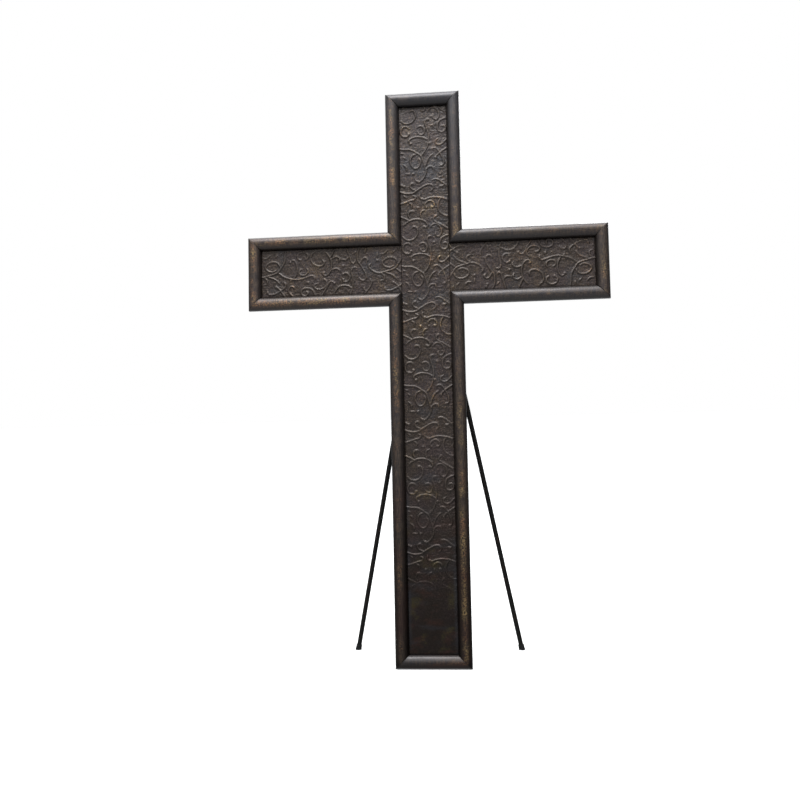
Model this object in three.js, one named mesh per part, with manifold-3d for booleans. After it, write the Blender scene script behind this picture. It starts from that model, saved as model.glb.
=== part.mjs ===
// A free-standing iron memorial cross that leans back on two rear legs.
// Units are millimetres, with Z up. The cross faces -Y, and left is -X, as its front is seen.
// The origin is the middle of the narrow level face that the upright stands on.

import * as THREE from "three";
import { mergeVertices } from "three/addons/utils/BufferGeometryUtils.js";
import Module from "manifold-3d";

const wasm = await Module();
wasm.setup();

// Cross
const HEIGHT = 1513;
const SPAN = 954;
const LIMB_WIDTH = 198;
const ARM_AXIS = 1040;
const LEAN = THREE.MathUtils.degToRad(4);
const GAP = 0.3;

// Half-round rails, mitred at the corners
const RAIL_WIDTH = 35;
const RAIL_SIDE = 9;
const RAIL_CROWN = 13;
const RAIL_INNER_EDGE = 1.5;
const CROWN_PLACE = 0.45;
const CROWN_STEPS = 4;

// Embossed sheets inside the rails, and plain sheets behind them
const SHEET_FACE = 5;
const BACK_THICKNESS = 3;
const BACK_INSET = 3;

// Vine scroll pressed into the embossed sheets
const REPEAT = 317;
const STRIP_MIDDLE = 64.5;
const STEM_PATTERN_TOP = 1449;
const STEM_REPEATS = { first: -1, last: 4 };
const ARM_PATTERN_START = 26.5;
const ARM_PATTERN_SHIFT = 2.5;
const ARM_REPEATS = { first: 0, last: 1 };
const RIDGE_WIDTH = 6.5;
const RIDGE_HEIGHT = 2.2;
const RIDGE_ROOT = 0.6;
const RIDGE_END_SCALE = 0.6;
const CURVE_STEP = 2;
const SMALLEST_DETAIL = 0.02;
const TURN_PER_PIECE = THREE.MathUtils.degToRad(60);
const FADE_START = 300;
const FADE_END = 130;

// Rear legs, their sockets and their rubber tips
const LEG_RADIUS = 6.35;
const LEG_SIDES = 12;
const FOOT_OFFSET = 4;
const FOOT_SPREAD = 225.5;
const FOOT_REACH = 177;
const SOCKET_HEIGHT = 1024;
const SOCKET_SPREAD = 21;
const BRACKET_OFFSET = 8;
const BRACKET_WIDTH = 84;
const BRACKET_TALL = 56;
const BRACKET_THICKNESS = 4;
const SOCKET_RADIUS = 9.5;
const SOCKET_LENGTH = 44;
const SOCKET_SINK = 2.5;
const SOCKET_CAP = 4;
const WEB_WIDTH = 6;
const WEB_DEPTH = 15;
const WELD_OVERLAP = 1;
const TIP_BASE_RADIUS = 8.8;
const TIP_TOP_RADIUS = 8;
const TIP_HEIGHT = 15;
const TIP_FLOOR = 4;

const HALF_LIMB = LIMB_WIDTH / 2;
const HALF_SPAN = SPAN / 2;
const ARM_LOW = ARM_AXIS - HALF_LIMB;
const ARM_HIGH = ARM_AXIS + HALF_LIMB;
const BORE_RADIUS = LEG_RADIUS + GAP;
const BACK_FACE = RAIL_SIDE + GAP + BACK_THICKNESS;
const BRACKET_FACE = BACK_FACE + GAP + BRACKET_THICKNESS;

// Colours
const RAIL_BRONZE = 0x4a423b;
const STEM_BRONZE = 0x3c352f;
const ARM_BRONZE = 0x423a34;
const BACK_BROWN = 0x24201d;
const BRACKET_BLACK = 0x1a1816;
const LEG_BLACK = 0x121110;
const RUBBER_BLACK = 0x0e0e0e;

// One repeat of the vine scroll. Each vine is a smooth line from its root to its tip,
// through points given as [across the strip, down the strip].
const VINES = {
  mainStem: [[-2, 84], [10, 87], [28, 88], [38, 92], [48, 99], [58, 106], [64, 120], [68, 135], [71, 149],
    [67, 163], [58, 174], [50, 178], [44, 172]],
  risingStem: [[60, 105], [69, 94], [75, 82], [79, 66], [80, 50], [77, 36], [73, 24], [71, 13], [76, 7],
    [83, 8]],
  innerCurl: [[46, 101], [37, 104], [31, 112], [30, 123], [34, 133], [41, 140], [49, 139], [55, 131],
    [57, 120], [53, 113]],
  outerBranch: [[70, 135], [75, 120], [82, 109], [91, 102]],
  drooping: [[86, 89], [93, 86], [100, 88], [111, 103], [118, 120], [117, 132], [108, 136]],
  crossing: [[128, 87], [117, 94], [107, 101], [97, 111]],
  smallHump: [[70, 148], [75, 140], [82, 136], [89, 138], [92, 146]],
  wideLoop: [[79, 64], [72, 60], [64, 56], [53, 54], [42, 55], [33, 58], [27, 64], [30, 71]],
  archedTendril: [[50, 29], [54, 26], [60, 25], [66, 29], [69, 36], [68, 44], [62, 49], [55, 47], [52, 41]],
  leftRing: [[28, 31], [21, 25], [12, 26], [6, 34], [6, 43], [10, 50], [17, 53], [24, 51], [27, 45]],
  questionHook: [[30, 302], [36, 297], [43, 301], [46, 310], [43, 321], [37, 329], [29, 333], [21, 334],
    [13, 331], [6, 324]],
  upperBowl: [[128, 5], [119, 8], [110, 13], [105, 21], [104, 31], [107, 40], [115, 44], [123, 40],
    [125, 32], [119, 26], [112, 29]],
  hookedBowl: [[105, 61], [99, 66], [98, 72], [103, 77], [109, 78], [116, 75], [122, 69], [128, 63]],
  wave: [[-2, 201], [10, 206], [24, 208], [37, 206], [48, 199], [58, 193], [67, 188], [76, 185],
    [84, 186], [89, 191], [88, 198], [82, 203]],
  waveHook: [[40, 184], [33, 181], [28, 187], [31, 194], [37, 198], [44, 201]],
  leftTendril: [[36, 214], [42, 218], [39, 224], [28, 227], [16, 231], [6, 234], [-2, 236]],
  longBow: [[54, 211], [53, 218], [58, 224], [66, 225], [76, 222], [88, 220], [101, 221], [113, 223],
    [128, 229]],
  ring: [[70, 247], [67, 240], [71, 233], [79, 229], [87, 232], [91, 239], [89, 246], [84, 247]],
  wideBowl: [[110, 222], [104, 231], [101, 240], [101, 250], [105, 260], [113, 267], [120, 271],
    [128, 272]],
  upperSpur: [[65, 254], [58, 257], [54, 266], [58, 278]],
  greatFrown: [[8, 294], [16, 287], [26, 281], [37, 278], [49, 278], [60, 281], [69, 288], [72, 296],
    [67, 301], [61, 299]],
  lowerSpur: [[37, 258], [31, 255], [25, 258], [22, 266], [28, 278]],
  fallingSpur: [[97, 270], [90, 274], [89, 282], [96, 288], [104, 292], [114, 298], [128, 307]],
  lowRing: [[80, 301], [84, 295], [91, 292], [99, 294], [106, 301], [109, 311], [107, 320], [101, 326],
    [94, 322], [93, 314]],
  rightArch: [[88, 173], [96, 171], [105, 174], [114, 181], [127, 191]],
};

function solidOf(geometry) {
  const bare = geometry.clone();
  bare.deleteAttribute("normal");
  bare.deleteAttribute("uv");
  const merged = mergeVertices(bare);
  return new wasm.Manifold(new wasm.Mesh({
    numProp: 3,
    vertProperties: new Float32Array(merged.attributes.position.array),
    triVerts: new Uint32Array(merged.index.array),
  }));
}

function geometryOf(solid) {
  const mesh = solid.getMesh();
  return closedGeometry(Array.from(mesh.vertProperties), Array.from(mesh.triVerts));
}

function closedGeometry(coordinates, triangles) {
  const geometry = new THREE.BufferGeometry();
  geometry.setAttribute("position", new THREE.Float32BufferAttribute(coordinates, 3));
  geometry.setIndex(triangles);
  geometry.computeVertexNormals();
  return geometry;
}

function boxBetween(low, high) {
  const size = high.map((value, axis) => value - low[axis]);
  const middle = high.map((value, axis) => (value + low[axis]) / 2);
  return new THREE.BoxGeometry(...size).translate(...middle);
}

function paintedIron(name, geometry, color) {
  const material = new THREE.MeshStandardMaterial({ color, roughness: 0.5, metalness: 0.35 });
  const mesh = new THREE.Mesh(geometry, material);
  mesh.name = name;
  return mesh;
}

// Outline of the cross, anticlockwise as its front is seen. Each corner starts the rail named with it.
const CORNERS = [
  { at: [-HALF_LIMB, 0], rail: "rail_bottom" },
  { at: [HALF_LIMB, 0], rail: "rail_stem_lower_right" },
  { at: [HALF_LIMB, ARM_LOW], rail: "rail_arm_right_bottom" },
  { at: [HALF_SPAN, ARM_LOW], rail: "rail_arm_right_end" },
  { at: [HALF_SPAN, ARM_HIGH], rail: "rail_arm_right_top" },
  { at: [HALF_LIMB, ARM_HIGH], rail: "rail_stem_upper_right" },
  { at: [HALF_LIMB, HEIGHT], rail: "rail_top" },
  { at: [-HALF_LIMB, HEIGHT], rail: "rail_stem_upper_left" },
  { at: [-HALF_LIMB, ARM_HIGH], rail: "rail_arm_left_top" },
  { at: [-HALF_SPAN, ARM_HIGH], rail: "rail_arm_left_end" },
  { at: [-HALF_SPAN, ARM_LOW], rail: "rail_arm_left_bottom" },
  { at: [-HALF_LIMB, ARM_LOW], rail: "rail_stem_lower_left" },
];

// Section of a rail as [distance in from the outline, depth], from its back round over the crown.
function railSection() {
  const crownAt = RAIL_WIDTH * CROWN_PLACE;
  const section = [[0, RAIL_SIDE]];
  for (let step = 0; step <= CROWN_STEPS; step += 1) {
    const angle = (Math.PI / 2) * (step / CROWN_STEPS);
    section.push([crownAt * (1 - Math.cos(angle)), -RAIL_CROWN * Math.sin(angle)]);
  }
  for (let step = 1; step <= CROWN_STEPS; step += 1) {
    const angle = (Math.PI / 2) * (step / CROWN_STEPS);
    const fall = RAIL_INNER_EDGE - (RAIL_INNER_EDGE + RAIL_CROWN) * Math.cos(angle);
    section.push([crownAt + (RAIL_WIDTH - crownAt) * Math.sin(angle), fall]);
  }
  section.push([RAIL_WIDTH, RAIL_SIDE]);
  return section;
}

function directionFrom(index) {
  const here = CORNERS[index % CORNERS.length].at;
  const next = CORNERS[(index + 1) % CORNERS.length].at;
  return new THREE.Vector2(next[0] - here[0], next[1] - here[1]).normalize();
}

// A point of the mitre at a corner. The foot of the cross is cut level with the ground it leans over.
function mitrePoint(index, inward, depth) {
  const corner = CORNERS[index % CORNERS.length].at;
  const before = directionFrom(index + CORNERS.length - 1);
  const after = directionFrom(index);
  const inner = new THREE.Vector2(
    corner[0] - RAIL_WIDTH * (before.y + after.y),
    corner[1] + RAIL_WIDTH * (before.x + after.x),
  );
  const levelled = corner[1] === 0 ? depth * Math.tan(LEAN) : corner[1];
  return new THREE.Vector2(corner[0], levelled).lerp(inner, inward / RAIL_WIDTH);
}

function railGeometry(index) {
  const section = railSection();
  const along = directionFrom(index).multiplyScalar(GAP / Math.SQRT2);
  const coordinates = [];
  for (const [inward, depth] of section) {
    const start = mitrePoint(index, inward, depth).add(along);
    coordinates.push(start.x, depth, start.y);
  }
  for (const [inward, depth] of section) {
    const end = mitrePoint(index + 1, inward, depth).sub(along);
    coordinates.push(end.x, depth, end.y);
  }
  const count = section.length;
  const triangles = [];
  for (let point = 0; point < count; point += 1) {
    const next = (point + 1) % count;
    triangles.push(point, count + next, next, point, count + point, count + next);
  }
  for (let point = 1; point < count - 1; point += 1) {
    triangles.push(0, point, point + 1, count, count + point + 1, count + point);
  }
  return closedGeometry(coordinates, triangles);
}

// The points of a vine that share out its turning evenly, closer together in its curls.
function vineStations(points) {
  const through = points.map(([across, down]) => new THREE.Vector3(across, down, 0));
  const curve = new THREE.CatmullRomCurve3(through, false, "centripetal");
  const fine = curve.getSpacedPoints(Math.ceil(curve.getLength() / CURVE_STEP));
  const turned = [0];
  for (let step = 1; step < fine.length - 1; step += 1) {
    const before = fine[step].clone().sub(fine[step - 1]);
    const after = fine[step + 1].clone().sub(fine[step]);
    turned.push(turned.at(-1) + before.angleTo(after));
  }
  const pieces = Math.ceil(turned.at(-1) / TURN_PER_PIECE);
  const stations = [fine[0]];
  for (let piece = 1; piece < pieces; piece += 1) {
    const share = turned.at(-1) * (piece / pieces);
    stations.push(fine[turned.findIndex((total) => total >= share)]);
  }
  stations.push(fine.at(-1));
  return stations;
}

const VINE_LINES = Object.values(VINES).map(vineStations);

// A roof-shaped ridge along a line of [x, z] points on the sheet, lower and narrower at its ends.
function ridgeGeometry(line, fade) {
  const coordinates = [];
  const triangles = [];
  line.forEach((point, station) => {
    const before = line[Math.max(station - 1, 0)];
    const after = line[Math.min(station + 1, line.length - 1)];
    const side = new THREE.Vector2(before.y - after.y, after.x - before.x).normalize();
    const isEnd = station === 0 || station === line.length - 1;
    const scale = isEnd ? RIDGE_END_SCALE : 1;
    const crest = SHEET_FACE - RIDGE_HEIGHT * scale * fade(point.y);
    const reach = side.multiplyScalar((RIDGE_WIDTH / 2) * scale);
    coordinates.push(point.x - reach.x, SHEET_FACE + RIDGE_ROOT, point.y - reach.y);
    coordinates.push(point.x + reach.x, SHEET_FACE + RIDGE_ROOT, point.y + reach.y);
    coordinates.push(point.x, crest, point.y);
  });
  for (let station = 0; station < line.length - 1; station += 1) {
    for (let edge = 0; edge < 3; edge += 1) {
      const here = 3 * station + edge;
      const beside = 3 * station + ((edge + 1) % 3);
      triangles.push(here, beside + 3, here + 3, here, beside, beside + 3);
    }
  }
  const last = 3 * (line.length - 1);
  triangles.push(0, 2, 1, last, last + 1, last + 2);
  return closedGeometry(coordinates, triangles);
}

// An embossed sheet between two [x, z] corners. place() lays the pattern's strip on it.
function embossedSheet(low, high, place, repeats, fade) {
  const sheet = boxBetween([low[0], SHEET_FACE, low[1]], [high[0], RAIL_SIDE, high[1]]);
  const room = boxBetween([low[0], 0, low[1]], [high[0], RAIL_SIDE - GAP, high[1]]);
  const area = new THREE.Box2(new THREE.Vector2(...low), new THREE.Vector2(...high));
  let ridges = null;
  for (let repeat = repeats.first; repeat <= repeats.last; repeat += 1) {
    for (const stations of VINE_LINES) {
      const line = stations.map((point) => place(point.x - STRIP_MIDDLE, point.y + REPEAT * repeat));
      const extent = new THREE.Box2().setFromPoints(line);
      if (!extent.intersectsBox(area) || fade(extent.max.y) === 0) {
        continue;
      }
      const ridge = solidOf(ridgeGeometry(line, fade));
      ridges = ridges ? ridges.add(ridge) : ridge;
    }
  }
  const pressed = ridges.intersect(solidOf(room)).add(solidOf(sheet));
  return geometryOf(pressed.simplify(SMALLEST_DETAIL));
}

function embossedSheets() {
  const inside = HALF_LIMB - RAIL_WIDTH - GAP;
  const stemFade = (z) => THREE.MathUtils.clamp((z - FADE_END) / (FADE_START - FADE_END), 0, 1);
  const stemPlace = (across, down) => new THREE.Vector2(across, STEM_PATTERN_TOP - down);
  const stem = embossedSheet(
    [-inside, RAIL_WIDTH + GAP],
    [inside, HEIGHT - RAIL_WIDTH - GAP],
    stemPlace,
    STEM_REPEATS,
    stemFade,
  );
  const armPlace = (across, down) => new THREE.Vector2(ARM_PATTERN_START - down, -across - ARM_PATTERN_SHIFT);
  const arm = embossedSheet(
    [RAIL_WIDTH + GAP - HALF_SPAN, -inside],
    [-inside - GAP, inside],
    armPlace,
    ARM_REPEATS,
    () => 1,
  );
  const stemPanel = paintedIron("panel_stem", stem, STEM_BRONZE);
  const leftPanel = paintedIron("panel_arm_left", arm, ARM_BRONZE);
  const rightPanel = paintedIron("panel_arm_right", arm.clone(), ARM_BRONZE);
  leftPanel.position.z = ARM_AXIS;
  rightPanel.position.z = ARM_AXIS;
  rightPanel.rotation.y = Math.PI;
  return [stemPanel, leftPanel, rightPanel];
}

function backSheets() {
  const near = RAIL_SIDE + GAP;
  const far = near + BACK_THICKNESS;
  const half = HALF_LIMB - BACK_INSET;
  const stem = boxBetween([-half, near, BACK_INSET], [half, far, HEIGHT - BACK_INSET]);
  const sheets = [paintedIron("back_stem", stem, BACK_BROWN)];
  for (const [name, side] of [["back_arm_left", -1], ["back_arm_right", 1]]) {
    const ends = [side * (half + GAP), side * (HALF_SPAN - BACK_INSET)];
    const low = [Math.min(...ends), near, ARM_LOW + BACK_INSET];
    const high = [Math.max(...ends), far, ARM_HIGH - BACK_INSET];
    sheets.push(paintedIron(name, boxBetween(low, high), BACK_BROWN));
  }
  return sheets;
}

// The cross leans back about its foot.
const upright = new THREE.Group();
upright.rotation.x = -LEAN;
upright.position.y = -RAIL_SIDE / (2 * Math.cos(LEAN));
upright.updateMatrix();

// The two ends of a leg's axis, both in the leaning frame of the cross.
function legAxis(side) {
  const top = new THREE.Vector3(
    BRACKET_OFFSET + side * SOCKET_SPREAD,
    BRACKET_FACE + SOCKET_RADIUS - SOCKET_SINK,
    SOCKET_HEIGHT,
  );
  const ground = new THREE.Vector3(FOOT_OFFSET + side * FOOT_SPREAD, FOOT_REACH, 0);
  ground.applyMatrix4(upright.matrix.clone().invert());
  return { top, ground, down: ground.clone().sub(top).normalize() };
}

// A geometry made along +Y, laid along a direction from a start point.
function laidAlong(geometry, start, direction) {
  const turn = new THREE.Quaternion().setFromUnitVectors(new THREE.Vector3(0, 1, 0), direction);
  return geometry.applyQuaternion(turn).translate(start.x, start.y, start.z);
}

// A plate with a blind round socket for each leg, held off it by a web.
function legBracket() {
  const middle = SOCKET_HEIGHT - SOCKET_LENGTH / 2;
  let solid = solidOf(boxBetween(
    [BRACKET_OFFSET - BRACKET_WIDTH / 2, BACK_FACE + GAP, middle - BRACKET_TALL / 2],
    [BRACKET_OFFSET + BRACKET_WIDTH / 2, BRACKET_FACE, middle + BRACKET_TALL / 2],
  ));
  for (const side of [-1, 1]) {
    const { top, down } = legAxis(side);
    const socket = new THREE.CylinderGeometry(SOCKET_RADIUS, SOCKET_RADIUS, SOCKET_LENGTH, LEG_SIDES)
      .translate(0, SOCKET_LENGTH / 2 - SOCKET_CAP, 0);
    const web = boxBetween([-WEB_WIDTH / 2, -WELD_OVERLAP, -SOCKET_LENGTH], [WEB_WIDTH / 2, WEB_DEPTH, 0])
      .translate(top.x + (down.x * SOCKET_LENGTH) / 2, BRACKET_FACE, top.z);
    solid = solid.add(solidOf(laidAlong(socket, top, down))).add(solidOf(web));
  }
  for (const side of [-1, 1]) {
    const { top, down } = legAxis(side);
    const bore = new THREE.CylinderGeometry(BORE_RADIUS, BORE_RADIUS, 2 * SOCKET_LENGTH, LEG_SIDES)
      .translate(0, SOCKET_LENGTH - GAP, 0);
    solid = solid.subtract(solidOf(laidAlong(bore, top, down)));
  }
  return paintedIron("leg_bracket", geometryOf(solid), BRACKET_BLACK);
}

function leg(name, side) {
  const { top, ground, down } = legAxis(side);
  const length = top.distanceTo(ground) - TIP_FLOOR - GAP;
  const rod = new THREE.CylinderGeometry(LEG_RADIUS, LEG_RADIUS, length, LEG_SIDES)
    .translate(0, length / 2, 0);
  const mesh = paintedIron(name, rod, LEG_BLACK);
  mesh.position.copy(top);
  mesh.quaternion.setFromUnitVectors(new THREE.Vector3(0, 1, 0), down);
  return mesh;
}

// A rubber cup on the end of a leg, cut level where it meets the ground.
function footTip(name, side) {
  const { ground, down } = legAxis(side);
  const up = down.clone().negate().transformDirection(upright.matrix);
  const start = ground.clone().applyMatrix4(upright.matrix);
  const profile = [
    [0, -TIP_FLOOR],
    [TIP_BASE_RADIUS, -TIP_FLOOR],
    [TIP_BASE_RADIUS, TIP_FLOOR],
    [TIP_TOP_RADIUS, TIP_HEIGHT],
    [BORE_RADIUS, TIP_HEIGHT],
    [BORE_RADIUS, TIP_FLOOR],
    [0, TIP_FLOOR],
  ].map(([radius, height]) => new THREE.Vector2(radius, height));
  const cup = laidAlong(new THREE.LatheGeometry(profile, LEG_SIDES), start, up);
  const below = boxBetween([-2 * FOOT_SPREAD, 0, -FOOT_SPREAD], [2 * FOOT_SPREAD, 2 * FOOT_REACH, 0]);
  const material = new THREE.MeshStandardMaterial({ color: RUBBER_BLACK, roughness: 0.8, metalness: 0 });
  const mesh = new THREE.Mesh(geometryOf(solidOf(cup).subtract(solidOf(below))), material);
  mesh.name = name;
  return mesh;
}

const cross = new THREE.Group();
CORNERS.forEach((corner, index) => upright.add(paintedIron(corner.rail, railGeometry(index), RAIL_BRONZE)));
upright.add(...embossedSheets(), ...backSheets(), legBracket());
upright.add(leg("leg_left", -1), leg("leg_right", 1));
cross.add(upright, footTip("foot_left", -1), footTip("foot_right", 1));

export default cross;
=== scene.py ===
"""A free-standing iron memorial cross: half-round rails round sheets embossed with a vine scroll."""

import math

import bmesh
import bpy
import numpy as np
from mathutils import Matrix, Vector


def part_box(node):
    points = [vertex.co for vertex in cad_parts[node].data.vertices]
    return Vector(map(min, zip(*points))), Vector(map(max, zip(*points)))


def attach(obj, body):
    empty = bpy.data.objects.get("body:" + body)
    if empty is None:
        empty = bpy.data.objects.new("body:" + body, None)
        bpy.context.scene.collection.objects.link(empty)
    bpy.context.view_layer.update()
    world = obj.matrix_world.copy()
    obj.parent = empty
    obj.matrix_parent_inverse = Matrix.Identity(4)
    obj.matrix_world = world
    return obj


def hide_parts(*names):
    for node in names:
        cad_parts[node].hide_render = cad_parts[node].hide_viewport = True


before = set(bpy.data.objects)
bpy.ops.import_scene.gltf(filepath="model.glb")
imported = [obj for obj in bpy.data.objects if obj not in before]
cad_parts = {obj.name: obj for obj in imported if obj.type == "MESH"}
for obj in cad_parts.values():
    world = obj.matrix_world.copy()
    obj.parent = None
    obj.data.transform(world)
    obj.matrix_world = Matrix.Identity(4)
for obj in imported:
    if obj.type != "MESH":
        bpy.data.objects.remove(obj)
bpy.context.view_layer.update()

# Sizes in metres. The leaning frame has x to the right, y to the back and z up the cross,
# with y = 0 where a rail's outer side turns into its crown.
HEIGHT = 1.513
HALF_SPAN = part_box("rail_arm_right_end")[1].x
HALF_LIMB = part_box("rail_stem_upper_right")[1].x
ARM_AXIS = 1.040
ARM_LOW = ARM_AXIS - HALF_LIMB
ARM_HIGH = ARM_AXIS + HALF_LIMB
LEAN = math.radians(4)

# Half-round rails
RAIL_WIDTH = 0.035
RAIL_SIDE = 0.009
RAIL_CROWN = 0.013
RAIL_INNER_EDGE = 0.0015
CROWN_PLACE = 0.45
CROWN_STEPS = 11
RAIL_STATION = 0.004
MITRE_STATIONS = (0, 0.0005, 0.0012, 0.0024)
MITRE_GAP = 0.00005
MITRE_CREASE = 0.0007
MITRE_CREASE_LENGTH = 0.0008
RAIL_DENT = 0.00045
RAIL_DENT_CELL = 0.055
RAIL_RIPPLE = 0.00024
RAIL_RIPPLE_CELL = 0.012
RAIL_CALM_END = 0.004
DENT_CROWN = 0.25
RAIL_SEED = 40
RIPPLE_SEED = 60

# How much shade is painted into a rail's colour along its edges, at its mitres and at the cross's foot, and
# how far
OUTER_DARK = 0.6
OUTER_DARK_SHARE = 0.16
INNER_DARK_FROM = 0.64
INNER_DARK_TO = 0.96
MITRE_DARK = 0.7
MITRE_DARK_LENGTH = 0.0016
FOOT_DARK = 0.9
FOOT_DARK_FROM = 0.018
FOOT_DARK_TO = 0.003

# Embossed sheets
SHEET_FACE = 0.005
SHEET_BACK = RAIL_SIDE
SHEET_EDGE_GAP = 0.00005
GRID_STEP = 0.0014
REPEAT = 0.317
STRIP = 0.129
STEM_PATTERN_TOP = 1.449
ARM_PATTERN_START = 0.0265
ARM_PATTERN_SHIFT = 0.0025
VINE_REACH = 0.0034
VINE_HEIGHT = 0.0029
VINE_LEAST = 0.60
VINE_RANGE = 0.5
VINE_CHANGE_CELL = 0.06
VINE_TIP = 0.005
VINE_TIP_SCALE = 0.55
KNOT_REACH = 0.0052
KNOT_SCALE = 1.1
FADE_START = 0.300
FADE_END = 0.125
CRINKLE_HEIGHT = 0.0012
CRINKLE_COARSE_CELL = 0.0074
CRINKLE_FINE_CELL = 0.0036
CRINKLE_COARSE_SHARE = 0.6
CRINKLE_LEFT = 0.6
CRINKLE_RISE = (0.03, 0.10)
CRINKLE_WORN = 0.7
SHEET_SWELL = 0.0011
SWELL_CELL = 0.14
SWELL_FINE_CELL = 0.045
SWELL_FINE_SHARE = 0.4
SWELL_MIDDLE = 0.7
SEAM_DEPTH = 0.0006
SEAM_WIDTH = 0.0012
RIM_WIDTH = (0.004, 0.012)
RIM_HEIGHT = (0.25, 0.60)
# Painted shade in the sheets' recesses: the depth below the blurred surroundings that gets full shade, how
# dark it is, and how many blur passes
HOLLOW_DEPTH = 0.0005
HOLLOW_DARK = 0.6
HOLLOW_PASSES = 6

# Back sheets
BACK_NEAR = 0.0093
BACK_THICKNESS = 0.003
BACK_INSET = 0.003
BACK_GAP = 0.0003
BACK_EDGE = 0.0008

# Vines of one repeat of the scroll, each a smooth line through [across, down] in millimetres
VINES = {
    "main_stem": [[-2, 84], [10, 87], [28, 88], [38, 92], [48, 99], [58, 106], [64, 120], [68, 135],
        [71, 149], [67, 163], [58, 174], [50, 178], [44, 172]],
    "rising_stem": [[60, 105], [69, 94], [75, 82], [79, 66], [80, 50], [77, 36], [73, 24], [71, 13],
        [76, 7], [83, 8]],
    "inner_curl": [[46, 101], [37, 104], [31, 112], [30, 123], [34, 133], [41, 140], [49, 139], [55, 131],
        [57, 120], [53, 113]],
    "outer_branch": [[70, 135], [75, 120], [82, 109], [91, 102]],
    "drooping": [[86, 89], [93, 86], [100, 88], [111, 103], [118, 120], [117, 132], [108, 136]],
    "crossing": [[128, 87], [117, 94], [107, 101], [97, 111]],
    "small_hump": [[70, 148], [75, 140], [82, 136], [89, 138], [92, 146]],
    "wide_loop": [[79, 64], [72, 60], [64, 56], [53, 54], [42, 55], [33, 58], [27, 64], [30, 71]],
    "arched_tendril": [[50, 29], [54, 26], [60, 25], [66, 29], [69, 36], [68, 44], [62, 49], [55, 47],
        [52, 41]],
    "left_ring": [[28, 31], [21, 25], [12, 26], [6, 34], [6, 43], [10, 50], [17, 53], [24, 51], [27, 45]],
    "question_hook": [[30, 302], [36, 297], [43, 301], [46, 310], [43, 321], [37, 329], [29, 333],
        [21, 334], [13, 331], [6, 324]],
    "upper_bowl": [[128, 5], [119, 8], [110, 13], [105, 21], [104, 31], [107, 40], [115, 44], [123, 40],
        [125, 32], [119, 26], [112, 29]],
    "hooked_bowl": [[105, 61], [99, 66], [98, 72], [103, 77], [109, 78], [116, 75], [122, 69], [128, 63]],
    "wave": [[-2, 201], [10, 206], [24, 208], [37, 206], [48, 199], [58, 193], [67, 188], [76, 185],
        [84, 186], [89, 191], [88, 198], [82, 203]],
    "wave_hook": [[40, 184], [33, 181], [28, 187], [31, 194], [37, 198], [44, 201]],
    "left_tendril": [[36, 214], [42, 218], [39, 224], [28, 227], [16, 231], [6, 234], [-2, 236]],
    "long_bow": [[54, 211], [53, 218], [58, 224], [66, 225], [76, 222], [88, 220], [101, 221], [113, 223],
        [128, 229]],
    "ring": [[70, 247], [67, 240], [71, 233], [79, 229], [87, 232], [91, 239], [89, 246], [84, 247]],
    "wide_bowl": [[110, 222], [104, 231], [101, 240], [101, 250], [105, 260], [113, 267], [120, 271],
        [128, 272]],
    "upper_spur": [[65, 254], [58, 257], [54, 266], [58, 278]],
    "great_frown": [[8, 294], [16, 287], [26, 281], [37, 278], [49, 278], [60, 281], [69, 288], [72, 296],
        [67, 301], [61, 299]],
    "lower_spur": [[37, 258], [31, 255], [25, 258], [22, 266], [28, 278]],
    "falling_spur": [[97, 270], [90, 274], [89, 282], [96, 288], [104, 292], [114, 298], [128, 307]],
    "low_ring": [[80, 301], [84, 295], [91, 292], [99, 294], [106, 301], [109, 311], [107, 320],
        [101, 326], [94, 322], [93, 314]],
    "right_arch": [[88, 173], [96, 171], [105, 174], [114, 181], [127, 191]],
    "arch_hook": [[118, 187], [113, 191], [106, 191]],
    "thorn": [[12, 129], [19, 136], [20, 146]],
    "dash": [[17, 154], [28, 155]],
    "short_wave": [[3, 184], [8, 186], [14, 190]],
    "wave_barb": [[10, 212], [17, 219]],
    "tendril_fork": [[24, 232], [31, 238], [30, 249]],
    "edge_sprig": [[-1, 269], [8, 273], [18, 278], [26, 283]],
    "stem_leaf": [[12, 108], [18, 114]],
    "upper_leaf": [[5, 97], [12, 99]],
}
KNOTS = [[27, 46], [16, 52], [60, 224], [94, 271], [31, 256], [35, 181], [36, 298], [89, 24], [76, 8],
    [64, 299], [85, 246], [70, 247], [49, 176], [110, 191], [98, 112], [48, 247], [82, 72], [113, 135],
    [12, 188], [5, 185], [37, 155], [33, 72]]
MILLIMETRE = 0.001

# Legs, bracket and tips
LEG_RADIUS = 0.00635
LEG_SIDES = 40
LEG_RINGS = 120
LEG_CHAMFER = 0.0008
LEG_END_GAP = 0.0003
FOOT_OFFSET = 0.004
FOOT_SPREAD = 0.2255
FOOT_REACH = 0.177
SOCKET_HEIGHT = 1.024
SOCKET_SPREAD = 0.021
BRACKET_OFFSET = 0.008
BRACKET_WIDTH = 0.084
BRACKET_TALL = 0.056
BRACKET_NEAR = 0.0126
BRACKET_FACE = 0.0166
BRACKET_ROUND = 0.006
BRACKET_EDGE = 0.0007
SOCKET_RADIUS = 0.0095
SOCKET_LENGTH = 0.044
SOCKET_SINK = 0.0025
SOCKET_CAP = 0.004
SOCKET_ROUND = 0.001
BORE_RADIUS = 0.00665
WELD_RADIUS = 0.0022
WELD_SINK = 0.0006
WELD_START = 0.02
WELD_RUN = 0.80
WELD_FLANK = 0.72
WELD_RIPPLE = 0.13
WELD_RIPPLES = 15
WELD_TAPER = 12
WELD_LEAST = 0.08
WELD_STEPS = 46
WELD_SIDES = 14
TIP_BASE_RADIUS = 0.0086
TIP_TOP_RADIUS = 0.0079
TIP_HEIGHT = 0.015
TIP_WIDE_HEIGHT = 0.001
TIP_FLOOR = 0.004
TIP_SIDES = 48
# The tips' outer form, as [how much wider than the top, height above the ground point]
TIP_STEPS = [
    (0.0005, 0.0032), (0.0002, 0.0058), (0, 0.0085), (0, 0.0141), (-0.0003, 0.0148), (-0.0008, 0.015),
]


# Geometry helpers

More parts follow.
